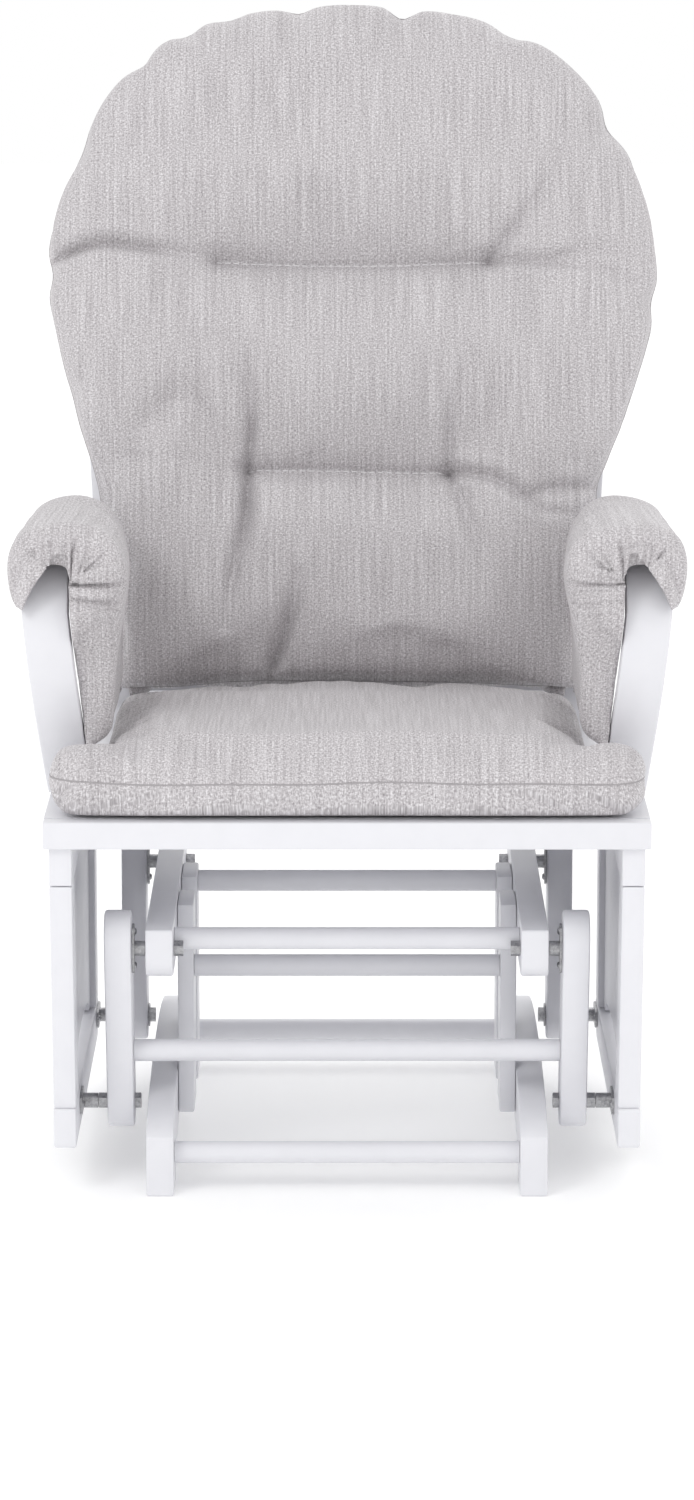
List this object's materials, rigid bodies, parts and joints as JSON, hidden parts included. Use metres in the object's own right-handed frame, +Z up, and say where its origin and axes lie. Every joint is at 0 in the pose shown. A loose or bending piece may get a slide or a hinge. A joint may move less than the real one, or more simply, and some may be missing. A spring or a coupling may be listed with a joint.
{
  "type": "glider nursery chair",
  "caption": "Cushioned glider armchair: a slatted high-back seat hung on four pivoting hangers over a fixed wooden floor base.",
  "frame": {"origin": "on the floor, under the centre of the chair's bounding box", "axes": "+X to the viewer's right as seen from the front, +Y from the front of the seat to its back, +Z up"},
  "size_m": [0.6636, 0.7458, 1.132],
  "materials": {
    "paint": "satin white paint on solid wood",
    "linen": "warm light grey linen-look weave with vertical slubs, over fibre fill",
    "zinc": "zinc-plated steel"
  },
  "bodies": {
    "base": {"base_foot_left": "paint", "base_foot_right": "paint", "base_top_rail_left": "paint", "base_top_rail_right": "paint", "base_upright_front_left": "paint", "base_upright_front_right": "paint", "base_upright_rear_left": "paint", "base_upright_rear_right": "paint", "base_crossbar_upper_front": "paint", "base_crossbar_upper_rear": "paint", "base_crossbar_middle": "paint", "base_crossbar_lower_front": "paint", "base_crossbar_lower_rear": "paint", "upper_pivot_bolt_front_left": "zinc", "upper_pivot_bolt_front_right": "zinc", "upper_pivot_bolt_rear_left": "zinc", "upper_pivot_bolt_rear_right": "zinc"},
    "front_hangers": {"hanger_front_left": "paint", "hanger_front_right": "paint", "hanger_stretcher": "paint", "upper_bracket_front_left": "zinc", "upper_bracket_front_right": "zinc", "lower_pivot_bolt_front_left": "zinc", "lower_pivot_bolt_front_right": "zinc"},
    "rear_hanger_left": {"hanger_rear_left": "paint", "upper_bracket_rear_left": "zinc"},
    "rear_hanger_right": {"hanger_rear_right": "paint", "upper_bracket_rear_right": "zinc"},
    "seat": {"seat_apron": "paint", "seat_deck": "paint", "seat_rear_rail": "paint", "side_rail_upper_left": "paint", "side_rail_upper_right": "paint", "side_rail_lower_left": "paint", "side_rail_lower_right": "paint", "side_post_front_left": "paint", "side_post_front_right": "paint", "side_post_rear_left": "paint", "side_post_rear_right": "paint", "side_panel_left": "paint", "side_panel_right": "paint", "lower_bracket_front_left": "zinc", "lower_bracket_front_right": "zinc", "lower_bracket_rear_left": "zinc", "lower_bracket_rear_right": "zinc", "lower_pivot_bolt_rear_left": "zinc", "lower_pivot_bolt_rear_right": "zinc", "back_stile_left": "paint", "back_stile_right": "paint", "back_crest": "paint", "back_lower_rail": "paint", "back_slat_1": "paint", "back_slat_2": "paint", "back_slat_3": "paint", "arm_left": "paint", "arm_right": "paint", "seat_cushion": "linen", "back_cushion": "linen", "arm_pad_left": "linen", "arm_pad_right": "linen"}
  },
  "joints": [
    {"name": "glide", "type": "hinge", "parent": "base", "child": "front_hangers", "pos_m": [0, -0.28087, 0.24], "axis": [1, 0, 0], "range_deg": [-15, 15]},
    {"name": "seat_pivot", "type": "hinge", "parent": "front_hangers", "child": "seat", "pos_m": [0, -0.23973, 0.075], "axis": [1, 0, 0], "range_deg": [-18, 18]},
    {"name": "rear_swing_left", "type": "hinge", "parent": "base", "child": "rear_hanger_left", "pos_m": [-0.2, 0.11913, 0.24], "axis": [1, 0, 0], "range_deg": [-15.5, 15.5]},
    {"name": "rear_swing_right", "type": "hinge", "parent": "base", "child": "rear_hanger_right", "pos_m": [0.2, 0.11913, 0.24], "axis": [1, 0, 0], "range_deg": [-15.5, 15.5]}
  ],
  "couplings": [
    {"joint": "seat_pivot", "follows": "glide", "ratio": -1.1398},
    {"joint": "rear_swing_left", "follows": "glide", "ratio": 1},
    {"joint": "rear_swing_right", "follows": "glide", "ratio": 1}
  ]
}
